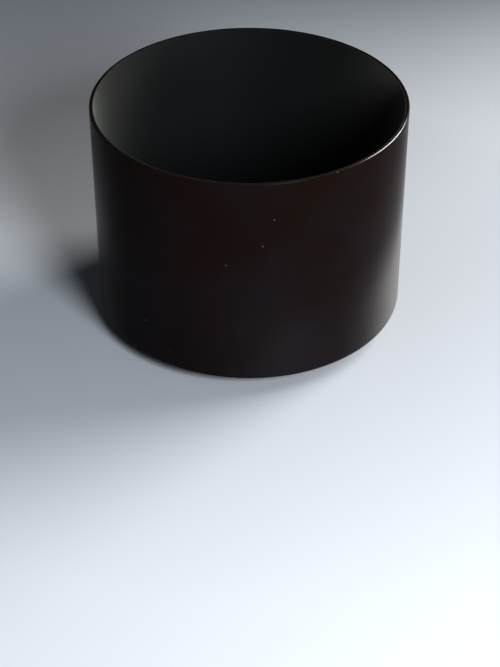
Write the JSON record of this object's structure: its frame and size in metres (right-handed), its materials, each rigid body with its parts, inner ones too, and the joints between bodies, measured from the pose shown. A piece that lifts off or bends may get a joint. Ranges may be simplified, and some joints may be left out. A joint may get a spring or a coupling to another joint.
{
  "type": "lens hood",
  "caption": "Straight cylindrical screw-in lens hood of black anodised aluminium with a male filter thread at its rear and a matte black bore.",
  "frame": {"origin": "on the optical axis, at the rear end of the thread ring, where the hood stands on a table", "axes": "+Z along the optical axis towards the open front rim; the part is round about Z"},
  "size_m": [0.06, 0.06, 0.0461],
  "materials": {
    "barrel_anodised": "satin black anodised, faint brown cast",
    "mount_ring_anodised": "satin black anodised, turned",
    "retaining_ring_anodised": "matte black anodised, turned",
    "liner_flock": "matte black flock"
  },
  "bodies": {
    "root": {"hood_barrel": "barrel_anodised", "mount_ring": "mount_ring_anodised", "retaining_ring": "retaining_ring_anodised", "flock_liner": "liner_flock"}
  },
  "joints": []
}
